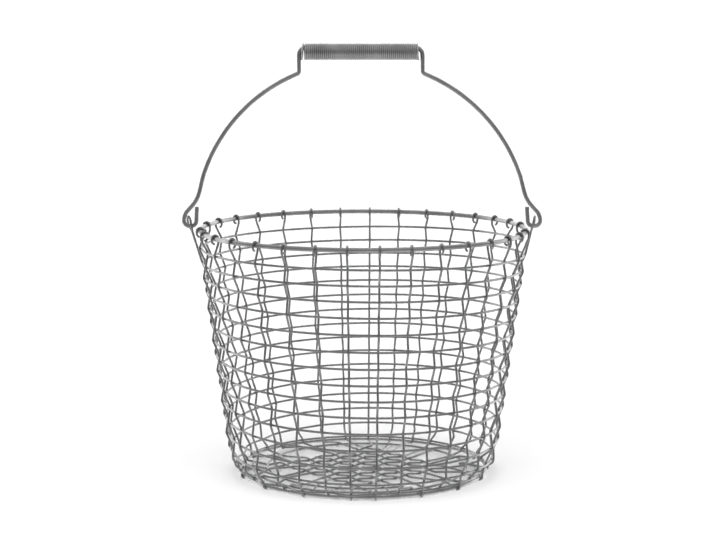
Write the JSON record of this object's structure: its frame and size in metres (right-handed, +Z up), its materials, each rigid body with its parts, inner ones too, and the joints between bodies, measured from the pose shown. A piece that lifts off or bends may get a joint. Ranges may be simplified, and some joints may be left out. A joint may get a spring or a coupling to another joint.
{
  "type": "wire basket",
  "caption": "Round open basket woven from steel wire, wider at the rim, with a swinging wire bail hooked into two ears and a loose coiled wire grip on it.",
  "frame": {"origin": "centre of the underside of the feet, on the surface the basket stands on", "axes": "+Z up out of the mouth, +X towards the right-hand ear, -Y towards the front"},
  "size_m": [0.3808, 0.3549, 0.4579],
  "materials": {
    "stake_wire": "satin drawn steel wire",
    "weaver_wire": "satin drawn steel wire",
    "ring_wire": "satin drawn steel wire",
    "bail_wire": "satin drawn steel wire",
    "coil_wire": "satin drawn steel wire"
  },
  "bodies": {
    "basket": {"through_stake_a1": "stake_wire", "through_stake_a2": "stake_wire", "through_stake_a3": "stake_wire", "through_stake_a4": "stake_wire", "through_stake_a5": "stake_wire", "through_stake_a6": "stake_wire", "through_stake_a7": "stake_wire", "through_stake_a8": "stake_wire", "through_stake_b1": "stake_wire", "through_stake_b2": "stake_wire", "through_stake_b3": "stake_wire", "half_stake": "stake_wire", "through_stake_b5": "stake_wire", "through_stake_b6": "stake_wire", "through_stake_b7": "stake_wire", "through_stake_b8": "stake_wire", "ear_right": "stake_wire", "ear_left": "stake_wire", "wall_weaver": "weaver_wire", "base_weaver": "weaver_wire", "rim_ring": "ring_wire", "base_ring": "ring_wire"},
    "bail": {"bail": "bail_wire"},
    "grip": {"grip_coil": "coil_wire"}
  },
  "joints": [
    {"name": "bail_swing", "type": "hinge", "parent": "basket", "child": "bail", "pos_m": [0, 0, 0.26522], "axis": [1, 0, 0], "range_deg": [-83, 79]},
    {"name": "grip_roll", "type": "hinge", "parent": "bail", "child": "grip", "pos_m": [0, 0, 0.44957], "axis": [1, 0, 0], "continuous": true}
  ]
}
